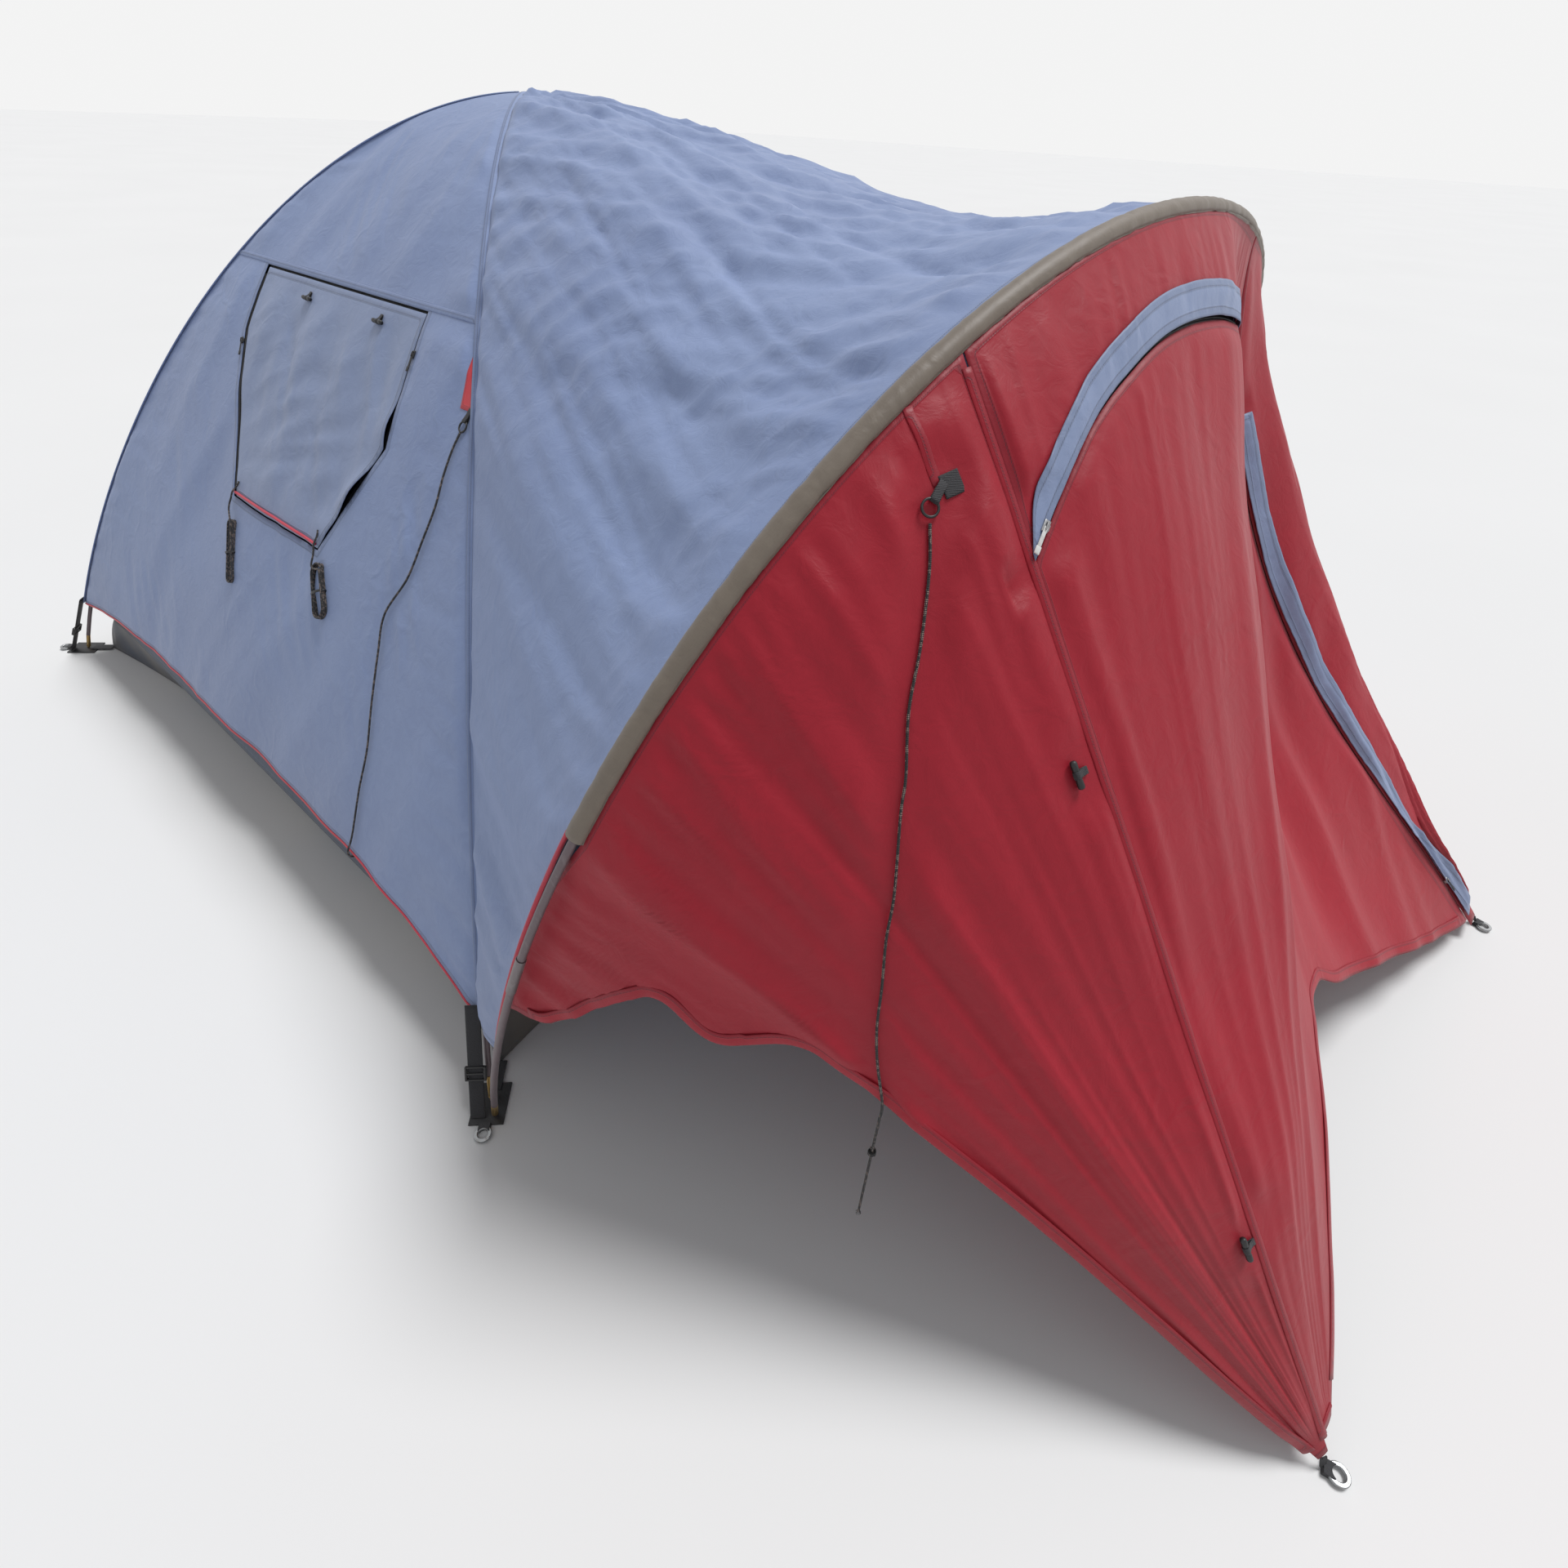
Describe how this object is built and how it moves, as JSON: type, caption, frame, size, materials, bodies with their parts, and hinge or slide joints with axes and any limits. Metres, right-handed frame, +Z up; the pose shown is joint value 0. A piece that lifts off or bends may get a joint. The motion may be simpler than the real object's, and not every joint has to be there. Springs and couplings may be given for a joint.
{
  "type": "tunnel tent",
  "caption": "Camping tent with a domed sleeping cabin on crossed poles, a leaning front hoop and a tapered vestibule with a side-hinged door, a window flap and guy cords",
  "frame": {"origin": "on the ground, under the crossing of the two dome poles, in the groundsheet's base", "axes": "+X points from the cabin to the vestibule, -Y is the window side, +Z is up"},
  "size_m": [3.3504, 2.1928, 1.2999],
  "materials": {
    "pole": "satin",
    "ferrule": "satin",
    "pole_tip": "satin",
    "shock_cord": "matt",
    "fly_blue": "satin",
    "fly_red": "satin",
    "piping_red": "matt",
    "sleeve_tan": "matt",
    "flap_blue": "satin",
    "zip_black": "matt",
    "zip_metal": "satin",
    "window_mesh": "matt",
    "black_plastic": "matt",
    "cord_black": "matt",
    "webbing_black": "matt",
    "patch_red": "satin",
    "inner_blue": "matt",
    "floor_blue": "satin",
    "ring_metal": "satin",
    "plate_metal": "satin"
  },
  "bodies": {
    "tent": {"dome_pole_1": "pole", "dome_pole_1_ferrules": "ferrule", "dome_pole_2": "pole", "dome_pole_2_ferrules": "ferrule", "hoop_pole": "pole", "hoop_pole_ferrules": "ferrule", "shock_cords": "shock_cord", "pole_tips": "pole_tip", "fly_side_panel_near": "fly_blue", "fly_side_panel_far": "fly_blue", "fly_rear_panel": "fly_blue", "fly_roof_panel": "fly_blue", "fly_hem_piping": "piping_red", "hoop_sleeve": "sleeve_tan", "vestibule_wall_near": "fly_red", "vestibule_wall_far": "fly_red", "vestibule_brow": "fly_red", "storm_flap_arch": "flap_blue", "storm_flap_side": "flap_blue", "door_zip": "zip_black", "window_mesh": "window_mesh", "window_zips": "zip_black", "side_guy_patches": "patch_red", "side_guy_tabs": "webbing_black", "side_guy_rings": "black_plastic", "side_guy_cord": "cord_black", "vestibule_guy_patches": "webbing_black", "vestibule_guy_tabs": "webbing_black", "vestibule_guy_rings": "black_plastic", "vestibule_guy_cord": "cord_black", "groundsheet": "floor_blue", "inner_wall_near": "inner_blue", "inner_wall_far": "inner_blue", "inner_wall_rear": "inner_blue", "inner_wall_front": "inner_blue", "pole_clips": "black_plastic", "corner_straps": "webbing_black", "corner_plates": "plate_metal", "fly_corner_straps": "webbing_black", "peg_rings": "ring_metal", "vestibule_tabs": "webbing_black"},
    "vestibule_door": {"vestibule_door": "fly_red"},
    "window_flap": {"window_flap": "fly_blue", "window_piping": "piping_red", "window_cord_left": "cord_black", "window_cord_right": "cord_black"},
    "door_slider_upper": {"door_slider_upper": "zip_metal"},
    "door_slider_lower": {"door_slider_lower": "zip_metal"},
    "door_toggle_upper": {"door_toggle_upper": "black_plastic"},
    "door_toggle_lower": {"door_toggle_lower": "black_plastic"},
    "window_slider_left": {"window_slider_left": "black_plastic"},
    "window_slider_right": {"window_slider_right": "black_plastic"},
    "window_toggle_left": {"window_toggle_left": "black_plastic"},
    "window_toggle_right": {"window_toggle_right": "black_plastic"},
    "inner_door": {"inner_door": "inner_blue"},
    "inner_door_slider": {"inner_door_slider": "zip_metal"},
    "buckle_front_near": {"buckle_front_near": "black_plastic"},
    "buckle_front_far": {"buckle_front_far": "black_plastic"},
    "buckle_rear_near": {"buckle_rear_near": "black_plastic"},
    "buckle_rear_far": {"buckle_rear_far": "black_plastic"}
  },
  "joints": [
    {"name": "vestibule_door_hinge", "type": "hinge", "parent": "tent", "child": "vestibule_door", "pos_m": [1.51185, -0.49921, 0.93628], "axis": [0.6175, -0.0753, -0.7829], "range_deg": [0, 105]},
    {"name": "door_toggle_upper_swing", "type": "hinge", "parent": "tent", "child": "door_toggle_upper", "pos_m": [1.64238, -0.53751, 0.75958], "axis": [-0.6175, 0.0753, 0.7829], "range_deg": [0, 90]},
    {"name": "door_toggle_lower_swing", "type": "hinge", "parent": "tent", "child": "door_toggle_lower", "pos_m": [2.01971, -0.58355, 0.2812], "axis": [-0.6175, 0.0753, 0.7829], "range_deg": [0, 90]},
    {"name": "door_slider_upper_run", "type": "slide", "parent": "tent", "child": "door_slider_upper", "axis": [-0.1912, 0.7343, 0.6513], "range_m": [0, 0.022]},
    {"name": "door_slider_lower_run", "type": "slide", "parent": "tent", "child": "door_slider_lower", "axis": [-0.6567, -0.2937, 0.6946], "range_m": [0, 0.04]},
    {"name": "window_flap_hinge", "type": "hinge", "parent": "tent", "child": "window_flap", "pos_m": [0, -0.47986, 0.99631], "axis": [-1, 0, 0], "range_deg": [0, 100]},
    {"name": "window_toggle_left_swing", "type": "hinge", "parent": "window_flap", "child": "window_toggle_left", "pos_m": [-0.09, -0.49824, 0.97889], "axis": [-1, 0, 0], "range_deg": [0, 90]},
    {"name": "window_toggle_right_swing", "type": "hinge", "parent": "window_flap", "child": "window_toggle_right", "pos_m": [0.19, -0.49824, 0.97889], "axis": [-1, 0, 0], "range_deg": [0, 90]},
    {"name": "window_slider_left_run", "type": "slide", "parent": "tent", "child": "window_slider_left", "axis": [0.432, -0.5382, -0.7236], "range_m": [0, 0.05]},
    {"name": "window_slider_right_run", "type": "slide", "parent": "tent", "child": "window_slider_right", "axis": [0.1596, -0.6326, -0.7579], "range_m": [0, 0.05]},
    {"name": "inner_door_hinge", "type": "hinge", "parent": "tent", "child": "inner_door", "pos_m": [0.9383, 0, 0.1776], "axis": [0, 1, 0], "range_deg": [0, 110]},
    {"name": "inner_door_slider_run", "type": "slide", "parent": "tent", "child": "inner_door_slider", "axis": [-0.4421, 0, 0.897], "range_m": [0, 0.1]},
    {"name": "buckle_front_near_slide", "type": "slide", "parent": "tent", "child": "buckle_front_near", "axis": [0.3756, -0.3756, -0.8473], "range_m": [-0.025, 0.025]},
    {"name": "buckle_front_far_slide", "type": "slide", "parent": "tent", "child": "buckle_front_far", "axis": [0.3756, 0.3756, -0.8473], "range_m": [-0.025, 0.025]},
    {"name": "buckle_rear_near_slide", "type": "slide", "parent": "tent", "child": "buckle_rear_near", "axis": [-0.3756, -0.3756, -0.8473], "range_m": [-0.025, 0.025]},
    {"name": "buckle_rear_far_slide", "type": "slide", "parent": "tent", "child": "buckle_rear_far", "axis": [-0.3756, 0.3756, -0.8473], "range_m": [-0.025, 0.025]}
  ]
}
